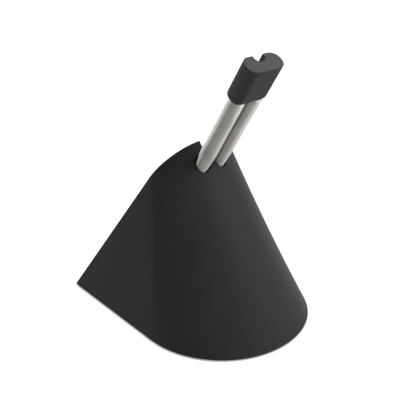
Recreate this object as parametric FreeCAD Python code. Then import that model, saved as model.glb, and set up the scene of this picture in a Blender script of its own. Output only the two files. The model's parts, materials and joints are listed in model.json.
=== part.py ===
import FreeCAD, Part
import os
from math import cos, radians, sin, sqrt, tan

from FreeCAD import Placement, Rotation, Vector

# Mouse bungee: a weighted, tent-shaped foot that holds up a twin-spring arm with a rubber cord head.
#
# Millimetres, +Z up. The origin is on the floor under the middle of the foot. The round nose points
# to -Y, the flat rear face to +Y, and the part is mirror-symmetric about the plane X = 0.
#
# The housing is a loft through three level U-shaped sections, cut off by the leaning rear plane.
# Everything on the arm is laid out in the arm frame: its origin is the middle of the rear face's foot,
# x across, n out of the rear face (negative is inside), h up along the rear face.

# Housing shell, outside
FOOT_WIDTH = 80.0
FOOT_LENGTH = 100.0
REAR_LEAN = 31.5            # degrees that the rear face and the springs lean forward
SIDE_DRAFT = 15.0           # degrees that the flat sides lean inward
NOSE_RAKE = 33.4            # degrees that the nose line leans back
SHOULDER_RAKE = 17.5        # degrees that the end of the flat sides leans back
ROUND_FULLNESS = 0.56       # handle share of a quarter curve of the nose; 0.5523 would be a circle
WAIST_FULLNESS = 0.46       # the same at half height, where the nose is slimmer
SECTION_OVERRUN = 5.4       # top construction section above the peak of the rear arch
WALL = 2.4
FIT_GAP = 0.2               # between a cover or plate and the shell wall around it

RIM_EDGE = 0.4              # rounding of the shell's outer edges

# Openings in the shell
SPRING_HOLE_GAP = 0.35      # around each spring where it leaves the housing
NOTCH_HALF_WIDTH = 2.35     # round-bottomed notch through the peak of the arch
NOTCH_DEPTH = 5.0           # its floor below the peak
NOTCH_LIP = 0.6             # rounding of its two rear edges
SADDLE_WALL = 1.4           # wall below and beside the notch, inside the shell

# Inside of the shell
LEDGE_WIDTH = 1.6           # ledge that the rear cover rests on
LEDGE_DEPTH = 1.8
RIB_HEIGHT = 2.5            # stiffening ribs on the inside of the nose
RIB_THICKNESS = 1.4
RIB_SPACING = 16.0
POST_RADIUS = 4.0           # screw posts that the base plate is screwed to
POST_TOP = 24.0
GUSSET_THICKNESS = 1.8
REAR_POST_SIDE = 10.5       # rear post centres from the foot's side edges
REAR_POST_BACK = 30.0       # and from the rear face's foot
NOSE_POST_SIDE = 22.5       # nose post centres from the foot's side edges
NOSE_POST_FRONT = 23.0      # and from the tip of the nose

# Sole, base plate and rear cover
SOLE_PROUD = 0.6            # the housing's rim stands this far above the floor
SOLE_THICKNESS = 1.6        # the sole lies in a shallow pocket under the base plate
SOLE_MARGIN = 2.6           # from the edge of the base plate
RIM_RECESS = 0.4            # base plate and rear cover lie this deep inside the shell's rims
POCKET_GAP = 0.15
PLATE_THICKNESS = 3.6
COVER_THICKNESS = 2.0
COVER_POST_X = 15.0         # posts on the rear cover that the base plate is screwed to
COVER_POST_HEIGHT = 12.0
COVER_POST_INSET = 14.0     # from the rear face's foot, along the floor
HOOK_LOW = 46.0             # h where the snap hooks on the cover's sides start
HOOK_WIDTH = 8.0
HOOK_THICKNESS = 1.2
HOOK_CATCH = 1.0            # how far a hook reaches behind the ledge
HOOK_NOSE = 1.4

# Ballast, two stamped steel plates stacked on the base plate
BALLAST_THICKNESS = 4.0
BALLAST_COUNT = 2
BALLAST_MARGIN = 4.5        # from the shell's inner wall
BALLAST_POST_GAP = 1.0
BALLAST_BOSS_RADIUS = 3.2
BALLAST_BOSS_GAP = 0.4
BALLAST_BOSS_SHORT = 0.2    # the boss ends this far below the ballast's top, so the screw clamps
BALLAST_PAIR_X = 20.0       # two screws side by side, one behind them on the centre line
BALLAST_PAIR_BACK = 48.0    # from the rear face's foot
BALLAST_SINGLE_BACK = 26.0

# Springs
SPRING_RADIUS = 3.5
SPRING_WIRE = 0.9
SPRING_SPACING = 9.2
SPRING_SETBACK = 8.7        # axes in front of the rear face
SPRING_DEPTH = 26.2         # the springs start this far below the peak of the arch
SPRING_REACH = 33.6         # the head's underside is this far above the peak
SPRING_SEAT = 1.2           # how deep the springs sit in the head
SPRING_TIP_STEP = 0.3       # the turns in the head are wound this much narrower
PIN_GAP = 0.1               # between a spring's bore and the pin in it

# Spring socket, a die-cast block screwed to the rear cover
SOCKET_WALL = 1.6
SOCKET_FLOOR = 4.0
SOCKET_DEPTH = 11.0         # how deep the springs sit in it
SOCKET_FRONT_WALL = 2.5
SOCKET_REAR_WALL = 1.2
SOCKET_CORNER = 1.5
BORE_GAP = 0.1              # around a spring in the socket and in the head
FLANGE_HALF_WIDTH = 17.0
FLANGE_THICKNESS = 3.0
FLANGE_FRONT = 2.3          # front face of the flange ahead of the spring axes
FLANGE_MARGIN = 1.0         # the flange is this much shorter than the block at both ends
FLANGE_CORNER = 3.0
SOCKET_SCREW_X = 13.4
SOCKET_SCREW_EDGE = 3.2     # screw centres from the flange's ends
SOCKET_BOSS_RADIUS = 2.9
ROOT_PIN_LENGTH = 13.0
GRUB_RADIUS = 1.5
GRUB_HEX_RADIUS = 0.8       # hexagon socket, over its corners
GRUB_HEX_DEPTH = 1.2
GRUB_GAP = 0.05

# Cord head, a rubber block on the spring tops
HEAD_WIDTH = 18.4
HEAD_DEPTH = 8.4
HEAD_LENGTH = 17.85
HEAD_END_FLAT = 0.6         # flat strip left between the round corners of an end
HEAD_OFFSET = 0.45          # centre of the head behind the spring axes
HEAD_LOW_EDGE = 2.0         # rounding around the underside
HEAD_TOP_EDGE = 0.3         # rounding around the top
CHANNEL_RADIUS = 2.6        # cord channel, open to the rear
CHANNEL_SETBACK = 3.1       # its axis behind the centre of the head
CHANNEL_LIP = 0.35          # rounding of the two edges of its mouth
TIP_PIN_RADIUS = 2.0
TIP_PIN_LENGTH = 11.0       # in the head
TIP_PLUG_LENGTH = 9.0       # in the spring
PIN_CHAMFER = 0.5

# Screws
SCREW_RADIUS = 1.4
SCREW_HEAD_RADIUS = 2.7
SCREW_HEAD_HEIGHT = 1.6
SCREW_GAP = 0.05            # between a shank and the hole it is cut in
HEAD_GAP = 0.3              # between a screw head and its counterbore
HEAD_EDGE_SHARE = 0.35      # bevel of a screw head's rim, as a share of the head's height
BASE_SCREW_LENGTH = 12.0
COVER_SCREW_LENGTH = 10.0
BALLAST_SCREW_LENGTH = 10.0
WASHER_RADIUS = 5.5
WASHER_THICKNESS = 1.0
SOCKET_SCREW_LENGTH = 8.5
RECESS_WIDTH = 0.7
RECESS_SHARE = 0.62         # cross recess across the head
RECESS_DEPTH = 0.9

PICK_GAP = 1e-4             # tolerance where edges are picked by their place

# Worked-out levels and places
HALF_WIDTH = FOOT_WIDTH / 2
REAR_Y = FOOT_LENGTH / 2
NOSE_Y = -FOOT_LENGTH / 2
NOSE_CENTRE_Y = NOSE_Y + HALF_WIDTH
LEAN = radians(REAR_LEAN)
PEAK_RISE = FOOT_LENGTH / (tan(radians(NOSE_RAKE)) + tan(LEAN))
PEAK_H = PEAK_RISE / cos(LEAN)
SECTION_RISE = PEAK_RISE + SECTION_OVERRUN
PLATE_LOW = SOLE_PROUD + RIM_RECESS
PLATE_TOP = PLATE_LOW + PLATE_THICKNESS
POCKET_TOP = SOLE_THICKNESS
BALLAST_TOP = PLATE_TOP + BALLAST_COUNT * BALLAST_THICKNESS
COVER_OUT = -RIM_RECESS
COVER_IN = COVER_OUT - COVER_THICKNESS
NOTCH_FLOOR = PEAK_H - NOTCH_DEPTH
NOTCH_CENTRE = NOTCH_FLOOR + NOTCH_HALF_WIDTH
SPRING_N = -SPRING_SETBACK
SPRING_FOOT = PEAK_H - SPRING_DEPTH
HEAD_LOW = PEAK_H + SPRING_REACH
SPRING_TOP = HEAD_LOW + SPRING_SEAT
SPRING_TIP = SPRING_RADIUS - SPRING_TIP_STEP
SPRING_BORE = SPRING_RADIUS - SPRING_WIRE
SPRING_X = (-SPRING_SPACING / 2, SPRING_SPACING / 2)
SOCKET_LOW = SPRING_FOOT - SOCKET_FLOOR
SOCKET_TOP = SPRING_FOOT + SOCKET_DEPTH
SOCKET_BORE = SPRING_RADIUS + BORE_GAP
FLANGE_N = SPRING_N - FLANGE_FRONT
FLANGE_BACK = FLANGE_N + FLANGE_THICKNESS
FLANGE_LOW = SOCKET_LOW + FLANGE_MARGIN
FLANGE_TOP = SOCKET_TOP - FLANGE_MARGIN
SOCKET_SCREW_H = (FLANGE_LOW + SOCKET_SCREW_EDGE, FLANGE_TOP - SOCKET_SCREW_EDGE)
SOCKET_FRONT = SPRING_N - SOCKET_BORE - SOCKET_FRONT_WALL
GRUB_H = (SPRING_FOOT + SOCKET_TOP) / 2
HEAD_TOP = HEAD_LOW + HEAD_LENGTH
HEAD_N = SPRING_N + HEAD_OFFSET
HEAD_REAR = HEAD_N + HEAD_DEPTH / 2
HEAD_CORNER = (HEAD_DEPTH - HEAD_END_FLAT) / 2
CHANNEL_N = HEAD_N + CHANNEL_SETBACK
COVER_POST_Y = REAR_Y - COVER_POST_INSET
FAR = 3 * FOOT_LENGTH

ARM = Placement(Vector(0, REAR_Y, SOLE_PROUD), Rotation(Vector(1, 0, 0), REAR_LEAN))
UP = Vector(0, 0, 1)


def both_sides(place):
    """The place and its mirror image about X = 0."""
    x, y = place
    return [(-x, y), (x, y)]


REAR_POSTS = both_sides((HALF_WIDTH - REAR_POST_SIDE, REAR_Y - REAR_POST_BACK))
NOSE_POSTS = both_sides((HALF_WIDTH - NOSE_POST_SIDE, NOSE_Y + NOSE_POST_FRONT))
SHELL_POSTS = REAR_POSTS + NOSE_POSTS
COVER_POSTS = both_sides((COVER_POST_X, COVER_POST_Y))
BALLAST_PAIR = both_sides((BALLAST_PAIR_X, REAR_Y - BALLAST_PAIR_BACK))
BALLAST_BOSSES = BALLAST_PAIR + [(0, REAR_Y - BALLAST_SINGLE_BACK)]
SOCKET_SCREWS = [(x, h) for x in (-SOCKET_SCREW_X, SOCKET_SCREW_X) for h in SOCKET_SCREW_H]


# Solids in the frame of the part

def block(x0, x1, y0, y1, z0, z1):
    return Part.makeBox(x1 - x0, y1 - y0, z1 - z0, Vector(x0, y0, z0))


def rod(radius, x, y, z0, z1):
    return Part.makeCylinder(radius, z1 - z0, Vector(x, y, z0), UP)


# Solids in the arm frame, placed on the part

def on_arm(shape):
    placed = shape.copy()
    placed.Placement = ARM.multiply(shape.Placement)
    return placed


def arm_block(x0, x1, n0, n1, h0, h1):
    return on_arm(block(x0, x1, n0, n1, h0, h1))


def arm_rod(radius, x, n, h0, h1):
    return on_arm(rod(radius, x, n, h0, h1))


def cross_rod(radius, x, h, n0, n1):
    """A rod square to the rear face, not yet placed on the part."""
    return Part.makeCylinder(radius, n1 - n0, Vector(x, n0, h), Vector(0, 1, 0))


def arm_cross_rod(radius, x, h, n0, n1):
    return on_arm(cross_rod(radius, x, h, n0, n1))


def behind(n):
    """Everything behind the plane at n, to cut with."""
    return arm_block(-FAR, FAR, n, FAR, -FAR, FAR)


# Outline of the foot

def foot_section(rise, fullness, inset):
    """One level U outline, closed far behind the rear face."""
    half = HALF_WIDTH - rise * tan(radians(SIDE_DRAFT)) - inset / cos(radians(SIDE_DRAFT))
    shoulder = NOSE_CENTRE_Y + rise * tan(radians(SHOULDER_RAKE))
    tip = NOSE_Y + rise * tan(radians(NOSE_RAKE)) + inset / cos(radians(NOSE_RAKE))
    depth = shoulder - tip
    back = REAR_Y + HALF_WIDTH
    z = SOLE_PROUD + rise

    def side(sign):
        return Part.makeLine(Vector(sign * half, back, z), Vector(sign * half, shoulder, z))

    def quarter(sign):
        curve = Part.BezierCurve()
        curve.setPoles([
            Vector(sign * half, shoulder, z),
            Vector(sign * half, shoulder - fullness * depth, z),
            Vector(sign * fullness * half, tip, z),
            Vector(0, tip, z),
        ])
        return curve.toShape()

    rear = Part.makeLine(Vector(half, back, z), Vector(-half, back, z))
    return Part.Wire([side(-1), quarter(-1), quarter(1), side(1), rear])


def tent(inset):
    """The housing's loft, moved inward by an inset, still open behind the rear face."""
    sections = [
        foot_section(0, ROUND_FULLNESS, inset),
        foot_section(SECTION_RISE / 2, WAIST_FULLNESS, inset),
        foot_section(SECTION_RISE, ROUND_FULLNESS, inset),
    ]
    return Part.makeLoft(sections, True, False)


def fullness_at(rise):
    """Nose fullness of the loft at a height, by the parabola through its three sections."""
    share = rise / SECTION_RISE
    return ROUND_FULLNESS - 4 * share * (1 - share) * (ROUND_FULLNESS - WAIST_FULLNESS)


def level_plate(z0, z1, inset, rear_inset):
    """A flat plate with upright edges that fits the foot at its upper face."""
    rise = z1 - SOLE_PROUD
    outline = foot_section(rise, fullness_at(rise), inset)
    plate = Part.Face(outline).extrude(Vector(0, 0, z0 - z1))
    rear = REAR_Y - rise * tan(LEAN) - rear_inset
    return plate.cut(block(-FAR, FAR, rear, FAR, -FAR, FAR))


# Screws, drawn with the head's underside at the origin and the shank to +Z

def cross_recess():
    reach = RECESS_SHARE * SCREW_HEAD_RADIUS
    half = RECESS_WIDTH / 2
    low = -SCREW_HEAD_HEIGHT
    top = low + RECESS_DEPTH
    return block(-reach, reach, -half, half, low, top).fuse(block(-half, half, -reach, reach, low, top))


def screw(length):
    edge = HEAD_EDGE_SHARE * SCREW_HEAD_HEIGHT
    outline = [
        Vector(0, 0, -SCREW_HEAD_HEIGHT),
        Vector(SCREW_HEAD_RADIUS - edge, 0, -SCREW_HEAD_HEIGHT),
        Vector(SCREW_HEAD_RADIUS, 0, edge - SCREW_HEAD_HEIGHT),
        Vector(SCREW_HEAD_RADIUS, 0, 0),
        Vector(SCREW_RADIUS, 0, 0),
        Vector(SCREW_RADIUS, 0, length - SCREW_RADIUS),
        Vector(0, 0, length),
        Vector(0, 0, -SCREW_HEAD_HEIGHT),
    ]
    body = Part.Face(Part.makePolygon(outline)).revolve(Vector(0, 0, 0), UP, 360)
    return body.cut(cross_recess())


def placed_on(shape, position, direction):
    """A copy with its own +Z turned to a direction and its origin moved to a position."""
    copy = shape.copy()
    copy.Placement = Placement(position, Rotation(UP, direction)).multiply(shape.Placement)
    return copy


def pilot(x, y, z0, z1):
    return rod(SCREW_RADIUS + SCREW_GAP, x, y, z0, z1)


# Housing

def screw_post(outer, place):
    """A post on the inside of the shell, tied to the nearest wall by a gusset."""
    x, y = place
    post = rod(POST_RADIUS, x, y, PLATE_TOP, POST_TOP)
    outward = Vector(x, y - NOSE_CENTRE_Y, 0) if y < NOSE_CENTRE_Y else Vector(x, 0, 0)
    outward.normalize()
    gusset = block(-GUSSET_THICKNESS / 2, GUSSET_THICKNESS / 2, 0, HALF_WIDTH, PLATE_TOP, POST_TOP)
    gusset.Placement = Placement(Vector(x, y, 0), Rotation(Vector(0, 1, 0), outward))
    return post.fuse(gusset).common(outer)


def rim_edges(body):
    """Edges of the outer form around its open rear and bottom."""
    flat = ARM.inverse()
    picked = []
    for edge in body.Edges:
        middle = edge.valueAt((edge.FirstParameter + edge.LastParameter) / 2)
        points = [vertex.Point for vertex in edge.Vertexes] + [middle]
        on_rear = all(abs(flat.multVec(point).y) < PICK_GAP for point in points)
        on_floor = all(abs(point.z - SOLE_PROUD) < PICK_GAP for point in points)
        if on_rear or on_floor:
            picked.append(edge)
    return picked


def make_housing_shell():
    outer = tent(0).cut(behind(0))
    outer = outer.makeFillet(RIM_EDGE, rim_edges(outer))
    cavity = tent(WALL)
    shell = outer.cut(cavity)
    ledge_space = arm_block(-FAR, FAR, COVER_IN - LEDGE_DEPTH, COVER_IN, 0, FAR)
    ledge = cavity.cut(tent(WALL + LEDGE_WIDTH)).common(ledge_space)
    rib_space = [
        block(x - RIB_THICKNESS / 2, x + RIB_THICKNESS / 2, NOSE_Y, 0, BALLAST_TOP, PEAK_RISE / 2)
        for x in (-RIB_SPACING / 2, RIB_SPACING / 2)
    ]
    ribs = cavity.cut(tent(WALL + RIB_HEIGHT)).common(Part.makeCompound(rib_space))
    posts = [screw_post(outer, place) for place in SHELL_POSTS]
    above_plate = block(-FAR, FAR, -FAR, FAR, PLATE_TOP, FAR)
    saddle = notch(SADDLE_WALL, COVER_IN).common(cavity)
    shell = shell.fuse([ledge.common(above_plate), ribs, saddle] + posts)
    holes = [arm_rod(SPRING_RADIUS + SPRING_HOLE_GAP, x, SPRING_N, SOCKET_TOP, PEAK_H) for x in SPRING_X]
    pilots = [pilot(x, y, 0, PLATE_TOP + BASE_SCREW_LENGTH) for x, y in SHELL_POSTS]
    return shell.cut(holes + pilots + [notch(0, HALF_WIDTH), notch_lips()]).removeSplitter()


def notch(wall, n1):
    """Space of the notch, square to the rear face and wider by a wall, up to n1."""
    half = NOTCH_HALF_WIDTH + wall
    floor = cross_rod(half, 0, NOTCH_CENTRE, -HALF_WIDTH, n1)
    return on_arm(floor.fuse(block(-half, half, -HALF_WIDTH, n1, NOTCH_CENTRE, PEAK_H)))


def notch_lips():
    """What the rounding of the notch's two rear edges takes away."""
    lips = []
    for sign in (-1, 1):
        inner = sign * NOTCH_HALF_WIDTH
        outer = inner + sign * NOTCH_LIP
        corner = block(min(inner, outer), max(inner, outer), -NOTCH_LIP, 0, NOTCH_CENTRE, PEAK_H)
        lips.append(on_arm(corner.cut(rod(NOTCH_LIP, outer, -NOTCH_LIP, NOTCH_CENTRE, PEAK_H))))
    return Part.makeCompound(lips)


def snap_hooks():
    """Hooks on both sides of the cover's inner face that snap behind the shell's ledge."""
    inside = WALL + LEDGE_WIDTH + FIT_GAP
    catch = COVER_IN - LEDGE_DEPTH - FIT_GAP
    core = tent(inside + HOOK_THICKNESS)
    top = HOOK_LOW + HOOK_WIDTH
    stems = tent(inside).cut(core).common(arm_block(-FAR, FAR, catch - HOOK_NOSE, COVER_IN, HOOK_LOW, top))
    noses = tent(inside - HOOK_CATCH).cut(core)
    return stems.fuse(noses.common(arm_block(-FAR, FAR, catch - HOOK_NOSE, catch, HOOK_LOW, top)))


def make_rear_cover():
    fitted = tent(WALL + FIT_GAP)
    panel_space = arm_block(-FAR, FAR, COVER_IN, COVER_OUT, 0, FAR)
    above_rim = block(-FAR, FAR, -FAR, FAR, PLATE_LOW, FAR)
    panel = fitted.common(panel_space).common(above_rim)
    bosses = [
        arm_cross_rod(SOCKET_BOSS_RADIUS, x, h, FLANGE_BACK, COVER_IN) for x, h in SOCKET_SCREWS
    ]
    posts = []
    for x, y in COVER_POSTS:
        column = rod(POST_RADIUS, x, y, PLATE_TOP, PLATE_TOP + COVER_POST_HEIGHT)
        half = GUSSET_THICKNESS / 2
        web = block(x - half, x + half, y, REAR_Y, PLATE_TOP, PLATE_TOP + COVER_POST_HEIGHT)
        posts.append(column.fuse(web).cut(behind(COVER_OUT)))
    cover = panel.fuse(bosses + posts + [snap_hooks()])
    socket_pilots = [
        arm_cross_rod(SCREW_RADIUS + SCREW_GAP, x, h, FLANGE_N, FLANGE_N + SOCKET_SCREW_LENGTH)
        for x, h in SOCKET_SCREWS
    ]
    base_pilots = [
        pilot(x, y, 0, PLATE_TOP + COVER_POST_HEIGHT - WALL) for x, y in COVER_POSTS
    ]
    return cover.cut(socket_pilots + base_pilots + [notch(0, HALF_WIDTH)]).removeSplitter()


def make_base_plate():
    fitted = tent(WALL + FIT_GAP)
    slab = block(-FAR, FAR, -FAR, FAR, PLATE_LOW, PLATE_TOP)
    plate = fitted.common(slab).cut(behind(COVER_IN - FIT_GAP))
    boss_top = BALLAST_TOP - BALLAST_BOSS_SHORT
    bosses = [rod(BALLAST_BOSS_RADIUS, x, y, PLATE_TOP, boss_top) for x, y in BALLAST_BOSSES]
    plate = plate.fuse(bosses)
    pocket = level_plate(0, POCKET_TOP, WALL + SOLE_MARGIN - POCKET_GAP, sole_rear() - POCKET_GAP)
    cuts = [pocket]
    for x, y in SHELL_POSTS + COVER_POSTS:
        cuts.append(pilot(x, y, 0, PLATE_TOP))
        bore = SCREW_HEAD_RADIUS + HEAD_GAP
        cuts.append(rod(bore, x, y, 0, POCKET_TOP + SCREW_HEAD_HEIGHT + HEAD_GAP))
    for x, y in BALLAST_BOSSES:
        cuts.append(pilot(x, y, BALLAST_TOP + WASHER_THICKNESS - BALLAST_SCREW_LENGTH, BALLAST_TOP))
    return plate.cut(cuts).removeSplitter()


def sole_rear():
    """Distance of the sole's rear edge in front of the rear face, along the floor."""
    return (-COVER_IN + FIT_GAP) / cos(LEAN) + SOLE_MARGIN


def make_sole_pad():
    return level_plate(0, POCKET_TOP, WALL + SOLE_MARGIN, sole_rear())


def make_ballast(layer):
    low = PLATE_TOP + layer * BALLAST_THICKNESS
    top = low + BALLAST_THICKNESS
    plate = level_plate(low, top, WALL + BALLAST_MARGIN, (-COVER_IN) / cos(LEAN) + BALLAST_MARGIN)
    room = POST_RADIUS + BALLAST_POST_GAP
    cuts = []
    for x, y in SHELL_POSTS:
        outward = Vector(x, y - NOSE_CENTRE_Y, 0) if y < NOSE_CENTRE_Y else Vector(x, 0, 0)
        slot = block(-room, room, 0, HALF_WIDTH, low, top)
        slot.Placement = Placement(Vector(x, y, 0), Rotation(Vector(0, 1, 0), outward))
        cuts += [rod(room, x, y, low, top), slot]
    for x, y in COVER_POSTS:
        cuts += [rod(room, x, y, low, top), block(x - room, x + room, y, FAR, low, top)]
    cuts += [rod(BALLAST_BOSS_RADIUS + BALLAST_BOSS_GAP, x, y, low, top) for x, y in BALLAST_BOSSES]
    return plate.cut(cuts).removeSplitter()


# Springs, their socket and pins

def make_spring(x):
    tube = rod(SPRING_RADIUS, x, SPRING_N, SPRING_FOOT, HEAD_LOW)
    tube = tube.fuse(rod(SPRING_TIP, x, SPRING_N, HEAD_LOW, SPRING_TOP))
    return on_arm(tube.cut(rod(SPRING_BORE, x, SPRING_N, SPRING_FOOT, SPRING_TOP)))


def make_spring_socket():
    half = SPRING_SPACING / 2 + SOCKET_BORE + SOCKET_WALL
    back = SPRING_N + SOCKET_BORE + SOCKET_REAR_WALL
    body = block(-half, half, SOCKET_FRONT, back, SOCKET_LOW, SOCKET_TOP)
    upright = [edge for edge in body.Edges if abs(edge.tangentAt(edge.FirstParameter).z) > 0.9]
    body = body.makeFillet(SOCKET_CORNER, upright)
    flange = block(-FLANGE_HALF_WIDTH, FLANGE_HALF_WIDTH, FLANGE_N, FLANGE_BACK, FLANGE_LOW, FLANGE_TOP)
    corners = [edge for edge in flange.Edges if abs(edge.tangentAt(edge.FirstParameter).y) > 0.9]
    flange = flange.makeFillet(FLANGE_CORNER, corners)
    cuts = [rod(SOCKET_BORE, x, SPRING_N, SPRING_FOOT, SOCKET_TOP) for x in SPRING_X]
    cuts += [cross_rod(GRUB_RADIUS + GRUB_GAP, x, GRUB_H, SOCKET_FRONT, SPRING_N) for x in SPRING_X]
    cuts += [cross_rod(SCREW_RADIUS + SCREW_GAP, x, h, FLANGE_N, FLANGE_BACK) for x, h in SOCKET_SCREWS]
    return on_arm(body.fuse(flange).cut(cuts).removeSplitter())


def make_grub_screws():
    tip = SPRING_N - SPRING_RADIUS - GRUB_GAP
    screws = []
    for x in SPRING_X:
        corners = []
        for turn in range(7):
            angle = radians(60 * turn)
            across = GRUB_HEX_RADIUS * sin(angle)
            along = GRUB_HEX_RADIUS * cos(angle)
            corners.append(Vector(x + across, SOCKET_FRONT, GRUB_H + along))
        socket = Part.Face(Part.makePolygon(corners)).extrude(Vector(0, GRUB_HEX_DEPTH, 0))
        screws.append(on_arm(cross_rod(GRUB_RADIUS, x, GRUB_H, SOCKET_FRONT, tip).cut(socket)))
    return Part.makeCompound(screws)


def pin(x, h0, h1):
    """A round pin in a spring's bore, chamfered at its upper end."""
    radius = SPRING_BORE - PIN_GAP
    shoulder = h1 - PIN_CHAMFER
    tip = Part.makeCone(radius, radius - PIN_CHAMFER, PIN_CHAMFER, Vector(x, SPRING_N, shoulder), UP)
    return rod(radius, x, SPRING_N, h0, shoulder).fuse(tip)


def make_root_pin(x):
    return on_arm(pin(x, SPRING_FOOT, SPRING_FOOT + ROOT_PIN_LENGTH).removeSplitter())


def make_tip_pin(x):
    """Plug in the top of the spring below, slimmer shank in the head above."""
    plug_low = SPRING_TOP - TIP_PLUG_LENGTH
    radius = SPRING_BORE - PIN_GAP
    nose = Part.makeCone(radius - PIN_CHAMFER, radius, PIN_CHAMFER, Vector(x, SPRING_N, plug_low), UP)
    plug = rod(radius, x, SPRING_N, plug_low + PIN_CHAMFER, SPRING_TOP)
    shank = rod(TIP_PIN_RADIUS, x, SPRING_N, SPRING_TOP, SPRING_TOP + TIP_PIN_LENGTH)
    return on_arm(nose.fuse([plug, shank]).removeSplitter())


# Cord head

def head_outline():
    """Rounded rectangle of the head's underside, in the arm frame."""
    half = HEAD_WIDTH / 2
    depth = HEAD_DEPTH / 2
    straight = half - HEAD_CORNER
    flat = depth - HEAD_CORNER
    bulge = HEAD_CORNER * sqrt(0.5)

    def point(x, y):
        return Vector(x, HEAD_N + y, HEAD_LOW)

    edges = []
    for sign in (-1, 1):
        edges.append(Part.makeLine(point(-straight, sign * depth), point(straight, sign * depth)))
        edges.append(Part.makeLine(point(sign * half, sign * flat), point(sign * half, -sign * flat)))
        for end in (-1, 1):
            start = point(end * straight, sign * depth)
            middle = point(end * (straight + bulge), sign * (flat + bulge))
            edges.append(Part.Arc(start, middle, point(end * half, sign * flat)).toShape())
    return Part.Wire(Part.sortEdges(edges)[0])


def make_cord_head():
    body = Part.Face(head_outline()).extrude(Vector(0, 0, HEAD_LENGTH))
    low_edges = [edge for edge in body.Edges if edge.BoundBox.ZMax < HEAD_LOW + PICK_GAP]
    body = body.makeFillet(HEAD_LOW_EDGE, low_edges)
    body = body.cut(rod(CHANNEL_RADIUS, 0, CHANNEL_N, HEAD_LOW, HEAD_TOP))
    upright = [edge for edge in body.Edges if edge.BoundBox.ZLength > HEAD_LENGTH / 2]
    rear_edges = [edge for edge in upright if edge.BoundBox.YMin > HEAD_REAR - PICK_GAP]
    lips = [edge for edge in rear_edges if abs(edge.Vertexes[0].X) < CHANNEL_RADIUS]
    body = body.makeFillet(CHANNEL_LIP, lips)
    top_edges = [edge for edge in body.Edges if edge.BoundBox.ZMin > HEAD_TOP - PICK_GAP]
    body = body.makeFillet(HEAD_TOP_EDGE, top_edges)
    sockets = [
        rod(TIP_PIN_RADIUS + SCREW_GAP, x, SPRING_N, SPRING_TOP, SPRING_TOP + TIP_PIN_LENGTH)
        for x in SPRING_X
    ]
    seats = [rod(SPRING_TIP + BORE_GAP, x, SPRING_N, HEAD_LOW, SPRING_TOP) for x in SPRING_X]
    return on_arm(body.cut(sockets + seats))


# Groups of like screws

def make_base_screws():
    one = screw(BASE_SCREW_LENGTH)
    seat = POCKET_TOP + SCREW_HEAD_HEIGHT + HEAD_GAP
    return Part.makeCompound([placed_on(one, Vector(x, y, seat), UP) for x, y in SHELL_POSTS])


def make_cover_screws():
    one = screw(COVER_SCREW_LENGTH)
    seat = POCKET_TOP + SCREW_HEAD_HEIGHT + HEAD_GAP
    return Part.makeCompound([placed_on(one, Vector(x, y, seat), UP) for x, y in COVER_POSTS])


def make_ballast_screws():
    one = screw(BALLAST_SCREW_LENGTH)
    seat = BALLAST_TOP + WASHER_THICKNESS
    return Part.makeCompound([placed_on(one, Vector(x, y, seat), -UP) for x, y in BALLAST_BOSSES])


def make_ballast_washers():
    washers = []
    for x, y in BALLAST_BOSSES:
        disc = rod(WASHER_RADIUS, x, y, BALLAST_TOP, BALLAST_TOP + WASHER_THICKNESS)
        washers.append(disc.cut(pilot(x, y, BALLAST_TOP, BALLAST_TOP + WASHER_THICKNESS)))
    return Part.makeCompound(washers)


def make_socket_screws():
    one = screw(SOCKET_SCREW_LENGTH)
    return Part.makeCompound([
        on_arm(placed_on(one, Vector(x, FLANGE_N, h), Vector(0, 1, 0))) for x, h in SOCKET_SCREWS
    ])


PARTS = {
    "housing_shell": make_housing_shell(),
    "rear_cover": make_rear_cover(),
    "base_plate": make_base_plate(),
    "sole_pad": make_sole_pad(),
    "ballast_lower": make_ballast(0),
    "ballast_upper": make_ballast(1),
    "spring_socket": make_spring_socket(),
    "spring_left": make_spring(SPRING_X[0]),
    "spring_right": make_spring(SPRING_X[1]),
    "root_pin_left": make_root_pin(SPRING_X[0]),
    "root_pin_right": make_root_pin(SPRING_X[1]),
    "tip_pin_left": make_tip_pin(SPRING_X[0]),
    "tip_pin_right": make_tip_pin(SPRING_X[1]),
    "cord_head": make_cord_head(),
    "grub_screws": make_grub_screws(),
    "socket_screws": make_socket_screws(),
    "base_screws": make_base_screws(),
    "cover_screws": make_cover_screws(),
    "ballast_screws": make_ballast_screws(),
    "ballast_washers": make_ballast_washers(),
}

os.makedirs("parts", exist_ok=True)
for node, shape in PARTS.items():
    shape.exportStep("parts/" + node + ".step")
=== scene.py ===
import json
from math import ceil, cos, pi, radians, sin, tan

import bmesh
import bpy
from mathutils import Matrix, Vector


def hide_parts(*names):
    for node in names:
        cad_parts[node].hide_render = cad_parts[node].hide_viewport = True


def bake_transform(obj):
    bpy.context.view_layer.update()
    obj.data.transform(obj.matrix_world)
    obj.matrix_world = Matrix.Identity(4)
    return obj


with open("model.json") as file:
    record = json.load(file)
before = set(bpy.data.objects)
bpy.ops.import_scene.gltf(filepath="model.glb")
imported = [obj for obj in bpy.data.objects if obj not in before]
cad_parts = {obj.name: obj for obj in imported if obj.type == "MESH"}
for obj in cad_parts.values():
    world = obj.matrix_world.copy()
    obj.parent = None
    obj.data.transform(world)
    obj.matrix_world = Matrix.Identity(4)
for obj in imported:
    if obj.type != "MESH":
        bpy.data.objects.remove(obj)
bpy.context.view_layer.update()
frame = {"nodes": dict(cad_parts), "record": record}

# Mouse bungee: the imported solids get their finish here, and the two plain spring tubes are replaced by
# wound coils. Lengths are in millimetres, as in the part's source, and MM turns them into metres.
# The studio's own lengths, of lamps and card, are in metres.
MM = 0.001

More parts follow.
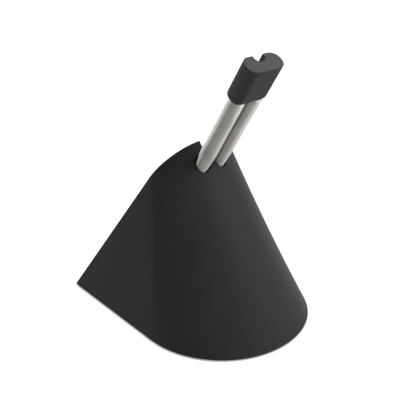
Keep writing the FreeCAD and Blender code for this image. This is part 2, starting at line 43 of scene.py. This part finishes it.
# Arm frame of the part: x across, n out of the rear face, h up along it
FOOT_LENGTH = 100.0
REAR_Y = FOOT_LENGTH / 2
SOLE_PROUD = 0.6
REAR_LEAN = radians(31.5)
NOSE_RAKE = radians(33.4)
PEAK_H = FOOT_LENGTH / (tan(NOSE_RAKE) + tan(REAR_LEAN)) / cos(REAR_LEAN)

# Springs, placed as in the part's source
SPRING_X = 4.6
SPRING_N = -8.7
SPRING_DEPTH = 26.2         # the springs start this far below the peak of the rear arch
SPRING_REACH = 33.6         # the head's underside is this far above the peak
SPRING_SEAT = 1.2           # how deep the springs sit in the head
SPRING_FOOT = PEAK_H - SPRING_DEPTH
HEAD_LOW = PEAK_H + SPRING_REACH
SPRING_TOP = HEAD_LOW + SPRING_SEAT
SPRING_RADIUS = 3.5
TIP_STEP = 0.3              # the turns in the head are this much narrower
TIP_EASE = 0.5              # they narrow from this far below the head's underside to as far above it
NECK_STEP = 0.35            # the turns in the housing's hole are this much narrower
NECK_LOW = 87.0             # h where a spring begins to widen above the hole
NECK_TOP = 95.0             # h where it has its full width

# Wire of the springs
WIRE_PITCH = 0.9
WIRE_RADIUS = 0.44
WIRE_SIDES = 10
TURN_STEPS = 28
SMOOTH_ANGLE = 50           # degrees between two faces from which their edge shows

# Camera, fitted to the photo's edges
CAMERA_PLACE = (-190.283, -217.927, 188.103)
CAMERA_AZIMUTH = -40.579
CAMERA_ELEVATION = 25.358
CAMERA_LENS = 65.682
CAMERA_SENSOR = 36.0

# Finish
CLOUD_SIZE = 9.0            # size of the slow change of tone
CLOUD_DETAIL = 3.0
GRAIN_DETAIL = 2.0
NOISE_LOW = 0.3             # nearly all of a noise texture lies between these two values
NOISE_HIGH = 0.7
ROUGHNESS_SPREAD = 0.1      # share by which the grain changes the roughness

# Light
WHITE = (1, 1, 1, 1)
ROOM_LEVEL = 0.25           # the room as rough surfaces see it
FLOOR_GLOW = 0.93           # floor as the camera and metal see it, before the light that falls on it
FLOOR_TONE = 0.36           # floor as it throws light back on the object
FLOOR_HALF = 2000.0         # half the length of its sides
PAINTED_SHADE_REACH = 1.5         # painted contact shade: ambient occlusion darkens the floor's glow this near to the foot's rim
LAMP_DISTANCE = 0.7
LAMP_SIZE = 0.4
LAMP_AIM = 0.05             # height of the point that the lamps look at
LAMPS = (
    # name, azimuth, elevation, watts
    ("key", 40, 40, 4.2),
    ("top", -10, 75, 1.4),
    ("left_fill", -120, 35, 1.0),
    ("rear_fill", 165, 40, 2.2),
)

# Grey card behind the camera, seen only in reflections
CARD_LEVEL = 0.1
CARD_AZIMUTH = -67
CARD_REACH = 59             # degrees to each side of its azimuth
CARD_LOW = -20              # elevations of its edges
CARD_HIGH = 85
CARD_DISTANCE = 0.9
CARD_COLUMNS = 24
CARD_ROWS = 12


def arm_point(x, n, h):
    """A point of the arm frame in the row frame, still in millimetres."""
    y = REAR_Y + n * cos(REAR_LEAN) - h * sin(REAR_LEAN)
    z = SOLE_PROUD + n * sin(REAR_LEAN) + h * cos(REAR_LEAN)
    return Vector((x, y, z))


ARM_UP = (arm_point(0, 0, 1) - arm_point(0, 0, 0)).normalized()
ARM_OUT = (arm_point(0, 1, 0) - arm_point(0, 0, 0)).normalized()


def direction(azimuth, elevation):
    """Unit vector from the object; azimuth 0 is in front of the nose and 90 is towards +X."""
    flat = cos(radians(elevation))
    return Vector((
        sin(radians(azimuth)) * flat,
        -cos(radians(azimuth)) * flat,
        sin(radians(elevation)),
    ))


def mesh_object(name, points, faces):
    mesh = bpy.data.meshes.new(name)
    mesh.from_pydata([Vector(p) * MM for p in points], [], faces)
    mesh.validate()
    piece = bpy.data.objects.new(name, mesh)
    bpy.context.scene.collection.objects.link(piece)
    return piece


def smooth_by_angle(piece, degrees):
    """Smooth shading, with sharp edges where two faces meet at more than the angle."""
    mesh = piece.data
    mesh.shade_smooth()
    work = bmesh.new()
    work.from_mesh(mesh)
    for edge in work.edges:
        edge.smooth = len(edge.link_faces) == 2 and edge.calc_face_angle(0) < radians(degrees)
    work.to_mesh(mesh)
    work.free()


def turned_holder(name, data, place, towards):
    """Object that looks back along a direction from the object, as lamps and cameras do along -Z."""
    holder = bpy.data.objects.new(name, data)
    holder.location = place
    holder.rotation_mode = "QUATERNION"
    holder.rotation_quaternion = (-towards).to_track_quat("-Z", "Y")
    bpy.context.scene.collection.objects.link(holder)
    return holder


# Springs

def turn_radius(height):
    """Radius to the middle of the wire: full in the open, narrower in the hole and in the head."""
    neck = min(max((NECK_TOP - height) / (NECK_TOP - NECK_LOW), 0), 1)
    tip = min(max((height - HEAD_LOW + TIP_EASE) / (2 * TIP_EASE), 0), 1)
    full = SPRING_RADIUS - WIRE_PITCH / 2
    return full - NECK_STEP * neck * neck * (3 - 2 * neck) - TIP_STEP * tip


def coil_points(x):
    """Rings of the wire along its helix, and the number of steps between the first and the last."""
    low = SPRING_FOOT + WIRE_PITCH / 2
    high = SPRING_TOP - WIRE_PITCH / 2
    steps = ceil((high - low) / WIRE_PITCH * TURN_STEPS)
    across = Vector((1, 0, 0))
    points = []
    for step in range(steps + 1):
        turn = 2 * pi * step / TURN_STEPS
        height = low + (high - low) * step / steps
        outward = cos(turn) * across + sin(turn) * ARM_OUT
        centre = arm_point(x, SPRING_N, height) + turn_radius(height) * outward
        for k in range(WIRE_SIDES):
            angle = 2 * pi * k / WIRE_SIDES
            points.append(centre + WIRE_RADIUS * (cos(angle) * outward + sin(angle) * ARM_UP))
    return points, steps


def make_spring(name, x):
    """Close-wound coil, swept along its helix and closed at both ends."""
    points, steps = coil_points(x)
    faces = []
    for step in range(steps):
        base = step * WIRE_SIDES
        for k in range(WIRE_SIDES):
            near = base + k
            far = base + (k + 1) % WIRE_SIDES
            faces.append([near, far, far + WIRE_SIDES, near + WIRE_SIDES])
    faces.append(list(range(WIRE_SIDES)))
    faces.append(list(range(steps * WIRE_SIDES, (steps + 1) * WIRE_SIDES))[::-1])
    spring = mesh_object(name, points, faces)
    smooth_by_angle(spring, SMOOTH_ANGLE)
    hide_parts(name.replace("_coil", ""))
    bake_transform(spring)
    return spring


# Materials

def material(name, colour, roughness, metallic=0.0, specular=0.5, grain=0.4, bump=0.02, spread=0.12):
    """Procedural finish: grain size and bump height in millimetres, spread of the tone as a share."""
    made = bpy.data.materials.new(name)
    made.use_nodes = True
    nodes, links = made.node_tree.nodes, made.node_tree.links
    shader = nodes["Principled BSDF"]
    shader.inputs["Metallic"].default_value = metallic
    shader.inputs["Specular IOR Level"].default_value = specular
    place = nodes.new("ShaderNodeTexCoord")

    def noise(size, detail):
        texture = nodes.new("ShaderNodeTexNoise")
        texture.inputs["Scale"].default_value = 1 / (size * MM)
        texture.inputs["Detail"].default_value = detail
        links.new(place.outputs["Object"], texture.inputs["Vector"])
        return texture

    def spread_over(texture, low, high):
        ramp = nodes.new("ShaderNodeMapRange")
        ramp.inputs["From Min"].default_value = NOISE_LOW
        ramp.inputs["From Max"].default_value = NOISE_HIGH
        ramp.inputs["To Min"].default_value = low
        ramp.inputs["To Max"].default_value = high
        links.new(texture.outputs["Fac"], ramp.inputs["Value"])
        return ramp

    cloud = noise(CLOUD_SIZE, CLOUD_DETAIL)
    tone = spread_over(cloud, 1 - spread, 1 + spread)
    mix = nodes.new("ShaderNodeVectorMath")
    mix.operation = "SCALE"
    mix.inputs[0].default_value = colour
    links.new(tone.outputs["Result"], mix.inputs["Scale"])
    links.new(mix.outputs["Vector"], shader.inputs["Base Color"])
    fine = noise(grain, GRAIN_DETAIL)
    rough = spread_over(fine, roughness * (1 - ROUGHNESS_SPREAD), roughness * (1 + ROUGHNESS_SPREAD))
    links.new(rough.outputs["Result"], shader.inputs["Roughness"])
    relief = nodes.new("ShaderNodeBump")
    relief.inputs["Strength"].default_value = 1.0
    relief.inputs["Distance"].default_value = bump * MM
    links.new(fine.outputs["Fac"], relief.inputs["Height"])
    links.new(relief.outputs["Normal"], shader.inputs["Normal"])
    return made


# One finish for each material slot of the record
FINISHES = {
    "shell": material(
        "soft_touch_plastic", colour=(0.025, 0.025, 0.026), roughness=0.56, specular=0.09,
        grain=0.35, bump=0.012, spread=0.05,
    ),
    "base_plastic": material(
        "textured_black_plastic", colour=(0.03, 0.03, 0.03), roughness=0.6, grain=0.6, bump=0.03,
    ),
    "sole": material(
        "sole_rubber", colour=(0.025, 0.025, 0.025), roughness=0.85, grain=0.8, bump=0.05,
    ),
    "ballast": material(
        "stamped_steel", colour=(0.42, 0.42, 0.42), roughness=0.45, metallic=1.0,
        grain=1.5, bump=0.01,
    ),
    "socket": material(
        "die_cast", colour=(0.6, 0.6, 0.61), roughness=0.5, metallic=1.0, grain=0.7, bump=0.02,
    ),
    "fastener": material(
        "zinc_plate", colour=(0.5, 0.5, 0.49), roughness=0.35, metallic=1.0,
        grain=0.5, bump=0.005,
    ),
    "spring": material(
        "satin_spring_wire", colour=(0.41, 0.4, 0.38), roughness=0.3, metallic=1.0,
        grain=0.25, bump=0.004,
    ),
    "head": material(
        "head_rubber", colour=(0.07, 0.07, 0.071), roughness=0.6, specular=0.04,
        grain=0.3, bump=0.012, spread=0.05,
    ),
}


def dress_nodes():
    """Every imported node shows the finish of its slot."""
    slots = {part["node"]: part["material_slot"] for part in frame["record"]["subparts"]}
    for node, piece in frame["nodes"].items():
        if not piece.data.materials:
            piece.data.materials.append(None)
        for slot in piece.material_slots:
            slot.material = FINISHES[slots[node]]


# Studio

def seen_directly(nodes, links):
    """1 for camera, glossy and transmission rays, so that metal shows the background too."""
    path = nodes.new("ShaderNodeLightPath")
    result = path.outputs["Is Camera Ray"]
    for ray in ("Is Glossy Ray", "Is Transmission Ray"):
        either = nodes.new("ShaderNodeMath")
        either.operation = "MAXIMUM"
        links.new(result, either.inputs[0])
        links.new(path.outputs[ray], either.inputs[1])
        result = either.outputs["Value"]
    return result


def world_light():
    """White where it is seen, a plain room for the light on the object."""
    world = bpy.data.worlds.new("room")
    bpy.context.scene.world = world
    world.use_nodes = True
    nodes, links = world.node_tree.nodes, world.node_tree.links
    nodes.clear()
    output = nodes.new("ShaderNodeOutputWorld")
    room = nodes.new("ShaderNodeBackground")
    room.inputs["Strength"].default_value = ROOM_LEVEL
    white = nodes.new("ShaderNodeBackground")
    white.inputs["Strength"].default_value = 1.0
    for shade in (room, white):
        shade.inputs["Color"].default_value = WHITE
    mix = nodes.new("ShaderNodeMixShader")
    links.new(seen_directly(nodes, links), mix.inputs["Fac"])
    links.new(room.outputs["Background"], mix.inputs[1])
    links.new(white.outputs["Background"], mix.inputs[2])
    links.new(mix.outputs["Shader"], output.inputs["Surface"])


def softbox(name, azimuth, elevation, watts):
    """Square area lamp that looks at the object."""
    lamp = bpy.data.lights.new(name, "AREA")
    lamp.shape = "SQUARE"
    lamp.size = LAMP_SIZE
    lamp.energy = watts
    towards = direction(azimuth, elevation)
    turned_holder(name, lamp, Vector((0, 0, LAMP_AIM)) + towards * LAMP_DISTANCE, towards)


def floor():
    """Pale floor that shows white around the object's own soft shadow, with painted shade near the
    foot's rim where ambient occlusion darkens its glow.
    """
    half = FLOOR_HALF
    corners = [(-half, -half, 0), (half, -half, 0), (half, half, 0), (-half, half, 0)]
    sheet = mesh_object("floor", corners, [[0, 1, 2, 3]])
    paper = bpy.data.materials.new("white_paper")
    paper.use_nodes = True
    nodes, links = paper.node_tree.nodes, paper.node_tree.links
    nodes.clear()
    output = nodes.new("ShaderNodeOutputMaterial")
    diffuse = nodes.new("ShaderNodeBsdfDiffuse")
    diffuse.inputs["Color"].default_value = (FLOOR_TONE, FLOOR_TONE, FLOOR_TONE, 1)
    glow = nodes.new("ShaderNodeEmission")
    # Painted shade: ambient occlusion darkens the floor's glow near the foot's rim, as a painted contact
    # shadow
    painted_shade_ao = nodes.new("ShaderNodeAmbientOcclusion")
    painted_shade_ao.inputs["Distance"].default_value = PAINTED_SHADE_REACH * MM
    painted_shade_glow = nodes.new("ShaderNodeMath")
    painted_shade_glow.operation = "MULTIPLY"
    painted_shade_glow.inputs[1].default_value = FLOOR_GLOW
    links.new(painted_shade_ao.outputs["AO"], painted_shade_glow.inputs[0])
    links.new(painted_shade_glow.outputs["Value"], glow.inputs["Strength"])
    both = nodes.new("ShaderNodeAddShader")
    links.new(diffuse.outputs["BSDF"], both.inputs[0])
    links.new(glow.outputs["Emission"], both.inputs[1])
    mix = nodes.new("ShaderNodeMixShader")
    links.new(seen_directly(nodes, links), mix.inputs["Fac"])
    links.new(diffuse.outputs["BSDF"], mix.inputs[1])
    links.new(both.outputs["Shader"], mix.inputs[2])
    links.new(mix.outputs["Shader"], output.inputs["Surface"])
    sheet.data.materials.append(paper)


def grey_card():
    """Curved card around the camera's side, seen only in what the object reflects."""
    points = []
    for i in range(CARD_COLUMNS + 1):
        azimuth = CARD_AZIMUTH - CARD_REACH + 2 * CARD_REACH * i / CARD_COLUMNS
        for j in range(CARD_ROWS + 1):
            elevation = CARD_LOW + (CARD_HIGH - CARD_LOW) * j / CARD_ROWS
            points.append(direction(azimuth, elevation) * CARD_DISTANCE / MM)
    faces = []
    for i in range(CARD_COLUMNS):
        for j in range(CARD_ROWS):
            first = i * (CARD_ROWS + 1) + j
            faces.append([first, first + 1, first + CARD_ROWS + 2, first + CARD_ROWS + 1])
    card = mesh_object("grey_card", points, faces)
    card.visible_camera = False
    card.visible_diffuse = False
    card.visible_transmission = False
    card.visible_shadow = False
    grey = bpy.data.materials.new("grey_card")
    grey.use_nodes = True
    nodes, links = grey.node_tree.nodes, grey.node_tree.links
    nodes.clear()
    output = nodes.new("ShaderNodeOutputMaterial")
    glow = nodes.new("ShaderNodeEmission")
    glow.inputs["Strength"].default_value = CARD_LEVEL
    links.new(glow.outputs["Emission"], output.inputs["Surface"])
    card.data.materials.append(grey)


def camera():
    lens = bpy.data.cameras.new("camera")
    lens.sensor_width = CAMERA_SENSOR
    lens.lens = CAMERA_LENS
    towards = direction(CAMERA_AZIMUTH, CAMERA_ELEVATION)
    bpy.context.scene.camera = turned_holder("camera", lens, Vector(CAMERA_PLACE) * MM, towards)


dress_nodes()
for side, x in (("left", -SPRING_X), ("right", SPRING_X)):
    coil = make_spring("spring_" + side + "_coil", x)
    coil.data.materials.append(FINISHES["spring"])

world_light()
for lamp_name, lamp_azimuth, lamp_elevation, lamp_watts in LAMPS:
    softbox(lamp_name, lamp_azimuth, lamp_elevation, lamp_watts)
grey_card()
floor()
camera()

bpy.context.scene.view_settings.view_transform = "Standard"
